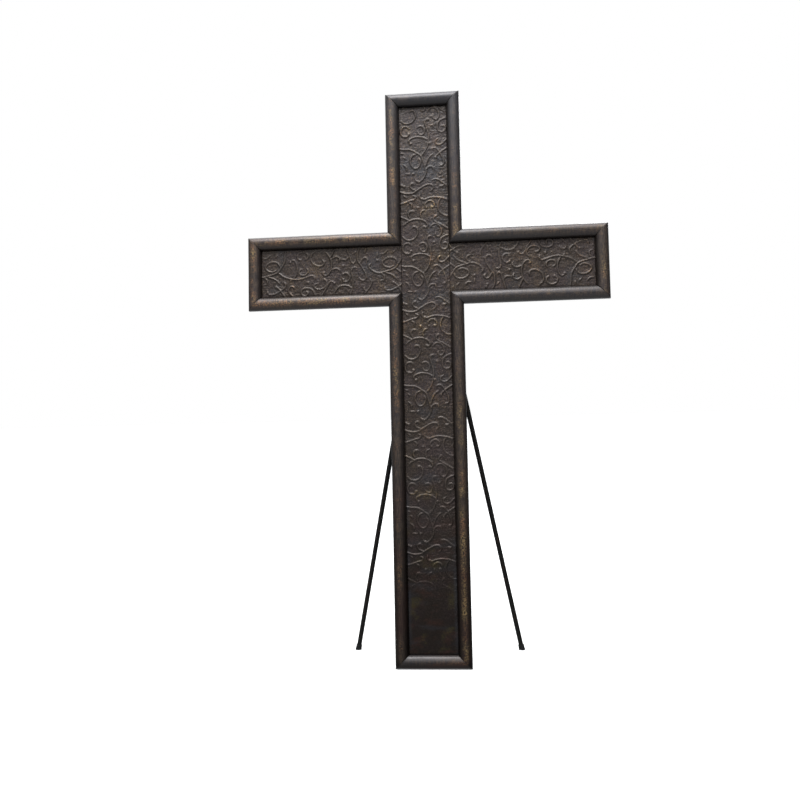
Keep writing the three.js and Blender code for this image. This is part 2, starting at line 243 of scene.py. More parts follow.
NOISE_TABLE = 256


def stand(points):
    """Points of the leaning frame, in the frame of the whole part."""
    points = np.asarray(points, float)
    x, y, z = points[..., 0], points[..., 1], points[..., 2]
    cosine, sine = math.cos(LEAN), math.sin(LEAN)
    back = y * cosine + z * sine - RAIL_SIDE / (2 * cosine)
    return np.stack([x, back, z * cosine - y * sine], axis=-1)


def value_noise(u, v, cell, seed):
    """Smooth noise from 0 to 1 over a plane, with a random value at each corner of its square cells."""
    size = NOISE_TABLE
    table = np.random.RandomState(seed).rand(size, size)
    across, down = u / cell, v / cell
    column, row = np.floor(across).astype(int), np.floor(down).astype(int)
    right, below = across - column, down - row
    right = right * right * (3 - 2 * right)
    below = below * below * (3 - 2 * below)
    here, beside = table[column % size, row % size], table[(column + 1) % size, row % size]
    under, opposite = table[column % size, (row + 1) % size], table[(column + 1) % size, (row + 1) % size]
    upper = here * (1 - right) + beside * right
    lower = under * (1 - right) + opposite * right
    return upper * (1 - below) + lower * below


def smoothstep(value, low, high):
    share = np.clip((value - low) / (high - low), 0, 1)
    return share * share * (3 - 2 * share)


def piece_from(name, points, faces, flat_faces=(), attributes=None):
    """A smooth-shaded mesh piece that rides on the part, with the given vertex attributes."""
    mesh = bpy.data.meshes.new(name)
    mesh.from_pydata(np.asarray(points).tolist(), [], faces)
    smooth = np.ones(len(mesh.polygons), bool)
    smooth[list(flat_faces)] = False
    mesh.polygons.foreach_set("use_smooth", smooth)
    for key, values in (attributes or {}).items():
        values = np.asarray(values, np.float32)
        kind = "FLOAT_VECTOR" if values.ndim == 2 else "FLOAT"
        field = "vector" if values.ndim == 2 else "value"
        mesh.attributes.new(key, kind, "POINT").data.foreach_set(field, values.ravel())
    mesh.update()
    made = bpy.data.objects.new(name, mesh)
    bpy.context.scene.collection.objects.link(made)
    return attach(made, "root")


def dress(piece, slot, material, *nodes):
    """Gives a piece its material and lets it stand for its CAD nodes. The slot is not used."""
    piece.data.materials.clear()
    piece.data.materials.append(material)
    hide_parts(*nodes)


# Node helpers for the materials

def add_node(tree, kind, inputs=None, **settings):
    node = tree.nodes.new(kind)
    for key, value in settings.items():
        setattr(node, key, value)
    for key, value in (inputs or {}).items():
        if isinstance(value, bpy.types.NodeSocket):
            tree.links.new(value, node.inputs[key])
        else:
            node.inputs[key].default_value = value
    return node


def noise_of(tree, vector, scale, detail=2.0, roughness=0.5):
    """Noise from about 0.2 to 0.8 with that many cells to the metre."""
    settings = {"Vector": vector, "Scale": scale, "Detail": detail, "Roughness": roughness}
    return add_node(tree, "ShaderNodeTexNoise", settings).outputs["Fac"]


def between(tree, value, low, high, to_low=0.0, to_high=1.0):
    """A value taken smoothly from one range to another."""
    inputs = {"Value": value, "From Min": low, "From Max": high, "To Min": to_low, "To Max": to_high}
    return add_node(tree, "ShaderNodeMapRange", inputs, interpolation_type="SMOOTHSTEP").outputs["Result"]


def product(tree, *values):
    result = values[0]
    for value in values[1:]:
        result = add_node(tree, "ShaderNodeMath", {0: result, 1: value}, operation="MULTIPLY").outputs[0]
    return result


def total(tree, *values):
    result = values[0]
    for value in values[1:]:
        result = add_node(tree, "ShaderNodeMath", {0: result, 1: value}, operation="ADD").outputs[0]
    return result


def mixed(tree, factor, first, second):
    """One colour mixed over another by a factor."""
    node = tree.nodes.new("ShaderNodeMix")
    node.data_type = "RGBA"
    for index, value in ((0, factor), (6, first), (7, second)):
        if isinstance(value, bpy.types.NodeSocket):
            tree.links.new(value, node.inputs[index])
        elif index == 0:
            node.inputs[index].default_value = value
        else:
            node.inputs[index].default_value = (*value, 1)
    return node.outputs[2]


def attribute(tree, name, output="Fac"):
    return add_node(tree, "ShaderNodeAttribute", attribute_name=name).outputs[output]


def place_in_metres(tree):
    return add_node(tree, "ShaderNodeTexCoord").outputs["Object"]


def stretched(tree, vector, first, second, third=1):
    """A place scaled by a number for each of its axes, for streaks and bands."""
    inputs = {"Vector": vector, "Scale": (first, second, third)}
    return add_node(tree, "ShaderNodeMapping", inputs).outputs["Vector"]


def part_of(tree, vector, axis):
    return add_node(tree, "ShaderNodeSeparateXYZ", {0: vector}).outputs[axis]


def near_ground(tree, place):
    """How much painted shade and staining there is low down: 0 from 0.7 m up, and growing toward the
    ground.
    """
    return between(tree, part_of(tree, place, "Z"), 0.02, 0.70, 0.5, 0.0)


def new_material(name, metallic, specular=0.5, coat=0.0, coat_roughness=0.3):
    material = bpy.data.materials.new(name)
    material.use_nodes = True
    shader = material.node_tree.nodes["Principled BSDF"]
    shader.inputs["Metallic"].default_value = metallic
    shader.inputs["Specular IOR Level"].default_value = specular
    shader.inputs["Coat Weight"].default_value = coat
    shader.inputs["Coat Roughness"].default_value = coat_roughness
    return material, material.node_tree, shader


def finish_surface(tree, shader, colour, roughness, height, depth):
    """Joins colour, roughness and fine bump to the shader."""
    tree.links.new(colour, shader.inputs["Base Color"])
    tree.links.new(roughness, shader.inputs["Roughness"])
    bump = add_node(tree, "ShaderNodeBump", {"Height": height, "Strength": 1.0, "Distance": depth})
    tree.links.new(bump.outputs["Normal"], shader.inputs["Normal"])


# Paint colours, as linear light
BROWN = (0.040, 0.028, 0.022)
UMBER = (0.013, 0.009, 0.007)
PLUM = (0.041, 0.028, 0.028)
SLATE = (0.036, 0.037, 0.044)
BRONZE = (0.150, 0.104, 0.066)
OCHRE = (0.400, 0.275, 0.120)
COPPER = (0.370, 0.195, 0.095)
OLIVE = (0.060, 0.052, 0.016)
RUSSET = (0.055, 0.024, 0.018)
# The next two are painted highlights: on raised flecks of the sheets, and along the crests of their vines
FLECK_HIGHLIGHT = (0.135, 0.098, 0.084)
PALE_BRONZE = (0.215, 0.180, 0.150)
BLACK_IRON = (0.005, 0.005, 0.005)
RUST = (0.070, 0.034, 0.018)
BACK_PAINT = (0.022, 0.018, 0.016)
RUBBER = (0.010, 0.010, 0.010)


def rail_paint():
    """Brown-black paint with gold rubbed along the crown in patches and streaks."""
    material, tree, shader = new_material("rubbed_bronze", metallic=0.5, specular=0.6, coat=0.3,
                                          coat_roughness=0.26)
    place = place_in_metres(tree)
    course = attribute(tree, "course", "Vector")
    crown = attribute(tree, "crown")
    gilding = attribute(tree, "gilding")
    slate_and_sheen = attribute(tree, "slate_and_sheen")
    upright = attribute(tree, "upright")
    clouds = noise_of(tree, place, 11, detail=3)
    grain = noise_of(tree, place, 420, detail=3, roughness=0.6)
    streaks = noise_of(tree, stretched(tree, course, 45, 420), 1, detail=3, roughness=0.6)
    ticking = between(tree, upright, 0.0, 1.0, 0.9, 0.2)
    ticks = noise_of(tree, stretched(tree, course, 230, 45), 1, detail=2)
    ticks = product(tree, ticking, total(tree, ticks, -0.5))
    patches = noise_of(tree, place, 17, detail=4, roughness=0.62)
    speckle = noise_of(tree, place, 260, detail=4, roughness=0.7)
    warmth = noise_of(tree, place, 23, detail=2)

    colour = mixed(tree, between(tree, clouds, 0.40, 0.62), BROWN, PLUM)
    # Slate paint tone together with a painted bluish sheen of the sky, set per rail, which also holds back
    # the bronze wear
    colour = mixed(tree, slate_and_sheen, colour, SLATE)
    worn = product(tree, crown, between(tree, total(tree, streaks, ticks), 0.40, 0.66), 0.5)
    worn = product(tree, worn, between(tree, slate_and_sheen, 0.0, 1.0, 1.0, 0.3))
    colour = mixed(tree, worn, colour, BRONZE)
    warmth = total(tree, warmth, between(tree, part_of(tree, place, "X"), -0.1, 0.1, 0.1, -0.03))
    gold = mixed(tree, between(tree, warmth, 0.42, 0.60), OCHRE, COPPER)
    stripe = product(tree, crown, crown, crown, crown, crown)
    spread = total(tree, patches, product(tree, gilding, 0.14))
    touched = product(tree, between(tree, spread, 0.52, 0.72), between(tree, speckle, 0.44, 0.62))
    touched = product(tree, touched, stripe, gilding)
    colour = mixed(tree, touched, colour, gold)
    colour = mixed(tree, between(tree, grain, 0.3, 0.55, 0.45, 0.0), colour, UMBER)
    # Painted shade along the rail's inner slope and outer edge, at its mitres and as a contact shadow at
    # the foot
    colour = mixed(tree, attribute(tree, "painted_shade"), colour, UMBER)
    # Painted shade low down: a contact shadow along the bottom of the cross and, on the upright rails, a
    # darkening toward the ground; the same weight brings in rust-brown patches and a more metallic, darker
    # reflection
    foot = between(tree, part_of(tree, place, "Z"), 0.006, 0.027, 0.9, 0.0)
    low_shade_and_stains = total(tree, product(tree, near_ground(tree, place), upright), foot)
    russet = product(tree, low_shade_and_stains, between(tree, clouds, 0.45, 0.60), 1.2)
    colour = mixed(tree, russet, colour, RUSSET)
    low_painted_shade = product(tree, low_shade_and_stains, between(tree, stripe, 0.2, 0.9, 1.0, 0.5))
    colour = mixed(tree, low_painted_shade, colour, UMBER)
    tree.links.new(between(tree, low_shade_and_stains, 0.0, 0.5, 0.5, 0.85), shader.inputs["Metallic"])

    roughness = between(tree, total(tree, streaks, product(tree, grain, 0.5)), 0.5, 1.0, 0.28, 0.52)
    height = total(tree, product(tree, grain, 0.6), product(tree, streaks, 0.5), product(tree, ticks, 0.5))
    finish_surface(tree, shader, colour, roughness, height, 0.00042)
    return material


def sheet_paint():
    """The same paint on the embossed sheets, with painted shade in the recesses and a painted pale bronze
    highlight along the crests of the vines.
    """
    material, tree, shader = new_material("embossed_bronze_paint", metallic=0.45, specular=0.5, coat=0.14,
                                          coat_roughness=0.32)
    place = place_in_metres(tree)
    vine = attribute(tree, "vine")
    painted_shade = attribute(tree, "painted_shade")
    clouds = noise_of(tree, place, 16, detail=3)
    slates = noise_of(tree, place, 12, detail=3)
    grain = noise_of(tree, place, 500, detail=3, roughness=0.62)
    patches = noise_of(tree, place, 13, detail=4, roughness=0.6)
    speckle = noise_of(tree, place, 260, detail=3, roughness=0.65)
    fleck = noise_of(tree, place, 330, detail=2, roughness=0.7)
    warmth = noise_of(tree, place, 19, detail=2)

    colour = mixed(tree, between(tree, clouds, 0.42, 0.60), BROWN, PLUM)
    height = part_of(tree, place, "Z")
    head = between(tree, height, 1.05, 1.35, 0.0, 0.35)
    slaty = product(tree, between(tree, slates, 0.54, 0.66), 0.6)
    colour = mixed(tree, total(tree, head, slaty), colour, SLATE)
    # Painted highlight: pale bronze along the crests of the vines
    vine_highlight = product(tree, vine, between(tree, speckle, 0.3, 0.6, 0.45, 1.0), 0.25)
    colour = mixed(tree, vine_highlight, colour, PALE_BRONZE)
    gold = mixed(tree, between(tree, warmth, 0.42, 0.60), OCHRE, COPPER)
    touched = product(tree, between(tree, patches, 0.52, 0.70), between(tree, speckle, 0.42, 0.62))
    touched = product(tree, touched, total(tree, product(tree, vine, 0.55), 0.25))
    colour = mixed(tree, touched, colour, gold)
    # Painted highlight on the raised flecks, pinkish low down and bronze higher up, and painted shade
    # between them
    fleck_highlights = product(tree, between(tree, fleck, 0.53, 0.66), between(tree, height, 0.08, 0.26, 0.25, 0.6))
    fleck_highlight_colour = mixed(tree, between(tree, height, 0.35, 0.75), FLECK_HIGHLIGHT, BRONZE)
    colour = mixed(tree, fleck_highlights, colour, fleck_highlight_colour)
    colour = mixed(tree, between(tree, fleck, 0.32, 0.50, 0.7, 0.0), colour, UMBER)
    colour = mixed(tree, between(tree, grain, 0.3, 0.55, 0.4, 0.0), colour, UMBER)
    # Painted shade in the recesses round the vines and crinkles, and on the plate's edges and back
    colour = mixed(tree, painted_shade, colour, UMBER)
    # Painted shade: darker toward the ground for the dimmer light low down; the same weight brings in rust,
    # slate and olive patches and a more metallic, darker reflection
    low_shade_and_stains = near_ground(tree, place)
    bands = noise_of(tree, stretched(tree, place, 9, 9, 34), 1, detail=4)
    blotches = noise_of(tree, stretched(tree, place, 17, 17, 30), 1, detail=4, roughness=0.6)
    broken = between(tree, speckle, 0.34, 0.58, 0.35, 1.0)
    colour = mixed(tree, total(tree, low_shade_and_stains, product(tree, low_shade_and_stains, low_shade_and_stains)), colour, UMBER)
    russet = product(tree, low_shade_and_stains, between(tree, blotches, 0.46, 0.66), broken, 1.3)
    colour = mixed(tree, russet, colour, RUSSET)
    colour = mixed(tree, product(tree, low_shade_and_stains, between(tree, bands, 0.50, 0.66), 0.8), colour, SLATE)
    mossy = product(tree, low_shade_and_stains, between(tree, patches, 0.50, 0.68), broken, 1.4)
    colour = mixed(tree, mossy, colour, OLIVE)
    rim = product(tree, attribute(tree, "rim"), between(tree, slates, 0.35, 0.6), 0.6)
    colour = mixed(tree, rim, colour, SLATE)

    roughness = between(tree, total(tree, clouds, product(tree, grain, 0.5)), 0.5, 0.95, 0.34, 0.52)
    tree.links.new(between(tree, low_shade_and_stains, 0.0, 0.5, 0.45, 0.85), shader.inputs["Metallic"])
    finish_surface(tree, shader, colour, roughness, total(tree, grain, product(tree, fleck, 1.2)), 0.0004)
    return material


def back_paint():
    """Plain brown-black brushed paint on the sheets behind."""
    material, tree, shader = new_material("plain_back_paint", metallic=0.25)
    place = place_in_metres(tree)
    brush = noise_of(tree, stretched(tree, place, 260, 260, 18), 1, detail=3)
    clouds = noise_of(tree, place, 9, detail=4)
    grain = noise_of(tree, place, 350, detail=2)
    colour = mixed(tree, between(tree, clouds, 0.4, 0.62), BACK_PAINT, SLATE)
    colour = mixed(tree, between(tree, brush, 0.35, 0.7, 0.0, 0.5), colour, UMBER)
    rusty = product(tree, between(tree, clouds, 0.60, 0.70), between(tree, grain, 0.5, 0.6), 0.6)
    colour = mixed(tree, rusty, colour, RUST)
    roughness = between(tree, brush, 0.3, 0.7, 0.42, 0.6)
    finish_surface(tree, shader, colour, roughness, brush, 0.00012)
    return material


def leg_paint():
    """Black paint on bar, with a little brown where it is worn."""
    material, tree, shader = new_material("black_bar_paint", metallic=0.0, specular=0.25)
    place = place_in_metres(tree)
    runs = noise_of(tree, stretched(tree, place, 300, 300, 40), 1, detail=3)
    clouds = noise_of(tree, place, 14, detail=3)
    colour = mixed(tree, between(tree, clouds, 0.35, 0.65, 0.0, 0.4), BLACK_IRON, UMBER)
    colour = mixed(tree, between(tree, runs, 0.60, 0.72, 0.0, 0.5), colour, RUST)
    roughness = between(tree, runs, 0.3, 0.7, 0.38, 0.58)
    finish_surface(tree, shader, colour, roughness, runs, 0.0001)
    return material


def rubber():
    """Matt black rubber, scuffed grey toward the floor."""
    material, tree, shader = new_material("tip_rubber_black", metallic=0.0, specular=0.3)
    place = place_in_metres(tree)
    scuff = noise_of(tree, place, 900, detail=3, roughness=0.7)
    low = between(tree, part_of(tree, place, "Z"), 0.0, 0.006, 0.5, 0.0)
    colour = mixed(tree, product(tree, low, between(tree, scuff, 0.4, 0.6)), RUBBER, SLATE)
    roughness = between(tree, scuff, 0.3, 0.7, 0.62, 0.8)
    finish_surface(tree, shader, colour, roughness, scuff, 0.0001)
    return material


# Rails

# Outline of the cross, anticlockwise as its front is seen. Each corner starts the rail named with it.
# The pairs say how much of its crown is rubbed with gold, and how much slate it has, partly its paint's own
# tone and partly a painted bluish sheen of the sky, at the rail's start and at its end. The last number is
# how much painted shade its inner slope gets.
CORNERS = [
    (-HALF_LIMB, 0, "rail_bottom", (0.2, 0.6), (0.7, 0.4), 0.2),
    (HALF_LIMB, 0, "rail_stem_lower_right", (1.5, 0.3), (0.0, 0.2), 0.85),
    (HALF_LIMB, ARM_LOW, "rail_arm_right_bottom", (0.2, 0.4), (0.7, 0.5), 0.6),
    (HALF_SPAN, ARM_LOW, "rail_arm_right_end", (0.9, 0.5), (0.1, 0.3), 0.8),
    (HALF_SPAN, ARM_HIGH, "rail_arm_right_top", (0.5, 0.2), (0.3, 0.7), 0.55),
    (HALF_LIMB, ARM_HIGH, "rail_stem_upper_right", (1.1, 0.0), (0.2, 1.0), 0.85),
    (HALF_LIMB, HEIGHT, "rail_top", (0.1, 0.2), (1.0, 0.8), 0.55),
    (-HALF_LIMB, HEIGHT, "rail_stem_upper_left", (0.6, 0.9), (0.7, 0.3), 0.35),
    (-HALF_LIMB, ARM_HIGH, "rail_arm_left_top", (0.8, 1.0), (0.2, 0.0), 0.5),
    (-HALF_SPAN, ARM_HIGH, "rail_arm_left_end", (1.0, 0.8), (0.1, 0.2), 0.6),
    (-HALF_SPAN, ARM_LOW, "rail_arm_left_bottom", (0.9, 0.7), (0.1, 0.2), 0.6),
    (-HALF_LIMB, ARM_LOW, "rail_stem_lower_left", (0.7, 0.5), (0.5, 0.0), 0.8),
]


def direction_from(index):
    here = np.array(CORNERS[index % len(CORNERS)][:2], float)
    ahead = np.array(CORNERS[(index + 1) % len(CORNERS)][:2], float) - here
    return ahead / np.linalg.norm(ahead)


def mitre_points(index, inward, depth):
    """Where lines of a rail, given by arrays of inward distance and depth, reach the mitre at a corner."""
    corner = np.array(CORNERS[index % len(CORNERS)][:2], float)
    before, after = direction_from(index - 1), direction_from(index)
    inner = corner + RAIL_WIDTH * np.array([-(before[1] + after[1]), before[0] + after[0]])
    outer = np.tile(corner, (len(inward), 1))
    if corner[1] == 0:
        outer[:, 1] = depth * math.tan(LEAN)
    share = (inward / RAIL_WIDTH)[:, None]
    return outer * (1 - share) + inner * share


def rail_section():
    """A rail's section: inward distance, depth and height on the crown from 0 to 1, round from its back."""
    crown_at = RAIL_WIDTH * CROWN_PLACE
    angles = np.linspace(0, math.pi / 2, CROWN_STEPS + 1)
    rise = [(crown_at * (1 - math.cos(a)), -RAIL_CROWN * math.sin(a), math.sin(a)) for a in angles]
    fall_width = RAIL_WIDTH - crown_at
    fall_depth = RAIL_INNER_EDGE + RAIL_CROWN
    fall = [
        (crown_at + fall_width * math.sin(a), RAIL_INNER_EDGE - fall_depth * math.cos(a), math.cos(a))
        for a in angles[1:]
    ]
    points = [(0, RAIL_SIDE, 0)] + rise + fall + [(RAIL_WIDTH, RAIL_SIDE, 0)]
    return np.array(points)


def rail_stations(length):
    """Fractions along a rail, evenly spaced but closer at its two mitres."""
    count = max(2, round((length - 2 * MITRE_STATIONS[-1]) / RAIL_STATION))
    middle = np.linspace(MITRE_STATIONS[-1], length - MITRE_STATIONS[-1], count + 1)
    near = list(MITRE_STATIONS[:-1])
    far = [length - distance for distance in reversed(near)]
    return np.array(near + middle.tolist() + far) / length


def build_rail(index, material):
    name, gilding, slate_and_sheen, inner_dark = CORNERS[index][2:]
    section = rail_section()
    inward, depth, crown = section.T
    along = direction_from(index)
    start = mitre_points(index, inward, depth) + along * MITRE_GAP
    end = mitre_points(index + 1, inward, depth) - along * MITRE_GAP
    lengths = (end - start) @ along
    stations = rail_stations(float(lengths.mean()))
    around = np.concatenate([[0], np.cumsum(np.hypot(np.diff(inward), np.diff(depth)))])
    outward = np.stack([np.gradient(depth), -np.gradient(inward)], axis=1)
    outward /= np.linalg.norm(outward, axis=1)[:, None]
    inner_side = np.array([-along[1], along[0]])

    points, course, crowns, painted_shades = [], [], [], []
    for share in stations:
        flat = start * (1 - share) + end * share
        travelled = flat @ along
        from_end = np.minimum(share, 1 - share) * lengths
        dent = value_noise(travelled, around, RAIL_DENT_CELL, RAIL_SEED + index) * RAIL_DENT
        dent += value_noise(travelled, around, RAIL_RIPPLE_CELL, RIPPLE_SEED + index) * RAIL_RIPPLE
        crease = MITRE_CREASE * np.exp(-from_end / MITRE_CREASE_LENGTH)
        dent = (dent * smoothstep(from_end, 0, RAIL_CALM_END) + crease) * smoothstep(crown, 0, DENT_CROWN)
        # Dents only go inward, so that the rail stays inside its outline.
        inward_shift = (-dent * outward[:, 0])[:, None] * inner_side
        plan = flat + inward_shift
        points.append(np.stack([plan[:, 0], depth - dent * outward[:, 1], plan[:, 1]], axis=1))
        course.append(np.stack([travelled, around, np.zeros(len(around))], axis=1))
        crowns.append(crown ** 2)
        # Painted shade: on the inner slope beside the recessed sheet, along the outer edge, at the mitre
        # creases, and as a contact shadow where the cross meets the ground
        inner_shade = inner_dark * smoothstep(inward / RAIL_WIDTH, INNER_DARK_FROM, INNER_DARK_TO)
        outer_shade = OUTER_DARK * (1 - smoothstep(inward / RAIL_WIDTH, 0, OUTER_DARK_SHARE))
        mitre_shade = MITRE_DARK * np.exp(-from_end / MITRE_DARK_LENGTH)
        foot_shade = FOOT_DARK * (1 - smoothstep(plan[:, 1], FOOT_DARK_TO, FOOT_DARK_FROM))
        painted_shades.append(np.max([inner_shade, outer_shade, mitre_shade, foot_shade], axis=0))
    count = len(section)
    faces, flat_faces = [], []
    for station in range(len(stations) - 1):
        for point in range(count):
            beside = (point + 1) % count
            here = station * count
            if point == count - 1:
                flat_faces.append(len(faces))
            faces.append((here + point, here + beside, here + count + beside, here + count + point))
    last = (len(stations) - 1) * count
    flat_faces += [len(faces), len(faces) + 1]
    faces.append(tuple(range(count - 1, -1, -1)))
    faces.append(tuple(last + point for point in range(count)))
    attributes = {
        "course": np.concatenate(course),
        "crown": np.concatenate(crowns),
        "painted_shade": np.concatenate(painted_shades),
        "gilding": np.repeat(np.interp(stations, (0, 1), gilding), count),
        "slate_and_sheen": np.repeat(np.interp(stations, (0, 1), slate_and_sheen), count),
        "upright": np.full(len(stations) * count, abs(along[1])),
    }
    piece = piece_from(name + "_half_round", stand(np.concatenate(points)), faces, flat_faces, attributes)
    dress(piece, "rail_bronze", material, name)


# Embossed sheets

def smooth_line(points, step=0.5):
    """A centripetal Catmull-Rom curve through the points, in short even steps."""
    through = [np.array(point, float) for point in points]
    ends = [2 * through[0] - through[1], *through, 2 * through[-1] - through[-2]]
    line = []
    for before, here, ahead, after in zip(ends, ends[1:], ends[2:], ends[3:]):
        knots = [0.0]
        for first, second in ((before, here), (here, ahead), (ahead, after)):
            knots.append(knots[-1] + math.sqrt(np.linalg.norm(second - first)))
        pieces = max(2, int(np.linalg.norm(ahead - here) / step))
        for share in np.arange(pieces) / pieces:
            at = knots[1] + (knots[2] - knots[1]) * share

            def blend(first, second, low, high):
                weighed = first * (knots[high] - at) + second * (at - knots[low])
                return weighed / (knots[high] - knots[low])

            a, b, c = blend(before, here, 0, 1), blend(here, ahead, 1, 2), blend(ahead, after, 2, 3)
            line.append(blend(blend(a, b, 0, 2), blend(b, c, 1, 3), 1, 2))
    line.append(through[-1])
    return np.array(line) * MILLIMETRE


# The relief of one repeat is worked out on a fine grid that wraps round at its ends.
TILE_STEP = 0.0005
TILE_MARGIN = 0.006
TILE_ROWS = round(REPEAT / TILE_STEP)
TILE_COLUMNS = round((STRIP + 2 * TILE_MARGIN) / TILE_STEP) + 1


def raise_bump(tile, across, down, reach, height):
    """Raises a round bump on the tile, keeping what is already higher."""
    middle_column, middle_row = (across + TILE_MARGIN) / TILE_STEP, down / TILE_STEP
    span = math.ceil(reach / TILE_STEP)
    columns = np.arange(int(middle_column) - span, int(middle_column) + span + 2)
    rows = np.arange(int(middle_row) - span, int(middle_row) + span + 2)
    columns = columns[(columns >= 0) & (columns < TILE_COLUMNS)]
    distance = np.hypot(rows[:, None] - middle_row, columns[None, :] - middle_column) * TILE_STEP
    bump = height * np.cos(np.clip(distance / reach, 0, 1) * math.pi / 2) ** 2
    window = np.ix_(rows % TILE_ROWS, columns)
    tile[window] = np.maximum(tile[window], bump)


def vine_tile():
    """Relief of one repeat of the scroll, from 0 on the ground to 1 along the vines."""
    tile = np.zeros((TILE_ROWS, TILE_COLUMNS))
    for points in VINES.values():
        line = smooth_line(points)
        travelled = np.concatenate([[0], np.cumsum(np.linalg.norm(np.diff(line, axis=0), axis=1))])
        from_tip = np.minimum(travelled, travelled[-1] - travelled)
        scale = VINE_TIP_SCALE + (1 - VINE_TIP_SCALE) * smoothstep(from_tip, 0, VINE_TIP)
        for (across, down), size in zip(line, scale):
            raise_bump(tile, across, down, VINE_REACH * (0.5 + 0.5 * size), size)
    for across, down in KNOTS:
        raise_bump(tile, across * MILLIMETRE, down * MILLIMETRE, KNOT_REACH, KNOT_SCALE)
    return tile


def sampled(tile, across, down):
    """The tile's relief at places on the strip, between its grid points."""
    column = np.clip((across + TILE_MARGIN) / TILE_STEP, 0, TILE_COLUMNS - 1.001)
    row = down / TILE_STEP
    left, above = np.floor(column).astype(int), np.floor(row).astype(int)
    right_share, below_share = column - left, row - above
    top, bottom = above % TILE_ROWS, (above + 1) % TILE_ROWS
    upper = tile[top, left] * (1 - right_share) + tile[top, left + 1] * right_share
    lower = tile[bottom, left] * (1 - right_share) + tile[bottom, left + 1] * right_share
    return upper * (1 - below_share) + lower * below_share


def blurred(field, passes):
    """A grid of values, softened over its neighbours."""
    for _ in range(passes):
        padded = np.pad(field, 1, mode="edge")
        field = (padded[:-2, 1:-1] + padded[2:, 1:-1] + padded[1:-1, :-2] + padded[1:-1, 2:] + field) / 5
    return field


def crinkle(x, z, seed):
    """Fine pressed texture of small creases, from 0 to 1."""
    coarse = 1 - np.abs(2 * value_noise(x, z, CRINKLE_COARSE_CELL, seed) - 1)
    fine = 1 - np.abs(2 * value_noise(x, z, CRINKLE_FINE_CELL, seed + 1) - 1)
    both = CRINKLE_COARSE_SHARE * coarse + (1 - CRINKLE_COARSE_SHARE) * fine
    return np.clip(both, 0, 1) ** 2


def build_sheet(name, low, high, strip_place, fade, seed, tile, material):
    """An embossed sheet between two [x, z] corners, as one closed plate."""
    columns = math.ceil((high[0] - low[0]) / GRID_STEP) + 1
    rows = math.ceil((high[1] - low[1]) / GRID_STEP) + 1
    x, z = np.meshgrid(np.linspace(low[0], high[0], columns), np.linspace(low[1], high[1], rows))
    across, down = strip_place(x, z)
    strength = VINE_LEAST + VINE_RANGE * value_noise(x, z, VINE_CHANGE_CELL, seed)
    vine = sampled(tile, across, down)
    kept = fade(z)
    to_right = smoothstep(across, *CRINKLE_RISE)
    texture = crinkle(x, z, seed + 3) * (CRINKLE_LEFT + (1 - CRINKLE_LEFT) * to_right)
    texture *= (1 - np.clip(vine, 0, 1)) * (CRINKLE_WORN + (1 - CRINKLE_WORN) * kept)
    swell = value_noise(x, z, SWELL_CELL, seed + 7)
    swell += SWELL_FINE_SHARE * value_noise(x, z, SWELL_FINE_CELL, seed + 8)
    relief = VINE_HEIGHT * vine * strength * kept + CRINKLE_HEIGHT * texture
    edge = np.minimum(np.minimum(x - low[0], high[0] - x), np.minimum(z - low[1], high[1] - z))
    seam = SEAM_DEPTH * np.exp(-edge / SEAM_WIDTH)
    depth = SHEET_FACE - relief + SHEET_SWELL * (swell - SWELL_MIDDLE) + seam
    from_side = np.minimum(x - low[0], high[0] - x)
    rim = (1 - smoothstep(from_side, *RIM_WIDTH)) * (1 - smoothstep(z, *RIM_HEIGHT))
    # Painted shade in the recesses round the vines and crinkles, and in full on the plate's edges and back
    painted_shade = np.clip((blurred(relief, HOLLOW_PASSES) - relief) / HOLLOW_DEPTH, 0, 1) * HOLLOW_DARK

    count = rows * columns
    front = np.stack([x, depth, z], axis=-1).reshape(-1, 3)
    border = (
        [(0, column) for column in range(columns)]
        + [(row, columns - 1) for row in range(1, rows)]
        + [(rows - 1, column) for column in range(columns - 2, -1, -1)]
        + [(row, 0) for row in range(rows - 2, 0, -1)]
    )
    outline = [row * columns + column for row, column in border]
    behind = {place: count + number for number, place in enumerate(border)}
    back = front[outline].copy()
    back[:, 1] = SHEET_BACK

    index = np.arange(count).reshape(rows, columns)
    corners = np.stack([index[:-1, :-1], index[:-1, 1:], index[1:, 1:], index[1:, :-1]], axis=-1)
    faces = corners.reshape(-1, 4).tolist()
    plain_from = len(faces)
    for number, vertex in enumerate(outline):
        ahead = (number + 1) % len(outline)
        faces.append((vertex, count + number, count + ahead, outline[ahead]))
    for row in range(1, rows - 2):
        ladder = ((row, 0), (row + 1, 0), (row + 1, columns - 1), (row, columns - 1))
        faces.append(tuple(behind[place] for place in ladder))
    lower_end = [(1, 0), (1, columns - 1)] + [(0, column) for column in range(columns - 1, -1, -1)]
    upper_end = [(rows - 2, columns - 1), (rows - 2, 0)] + [(rows - 1, column) for column in range(columns)]
    faces.append(tuple(behind[place] for place in lower_end))
    faces.append(tuple(behind[place] for place in upper_end))

    edge_zeros = np.zeros(len(outline))
    attributes = {
        "vine": np.concatenate([(np.clip(vine, 0, 1) * kept).ravel(), edge_zeros]),
        "painted_shade": np.concatenate([painted_shade.ravel(), edge_zeros + 1]),
        "rim": np.concatenate([rim.ravel(), edge_zeros]),
    }
    points = stand(np.concatenate([front, back]))
    piece = piece_from(name + "_embossed", points, faces, range(plain_from, len(faces)), attributes)
    dress(piece, "embossed_bronze", material, name)


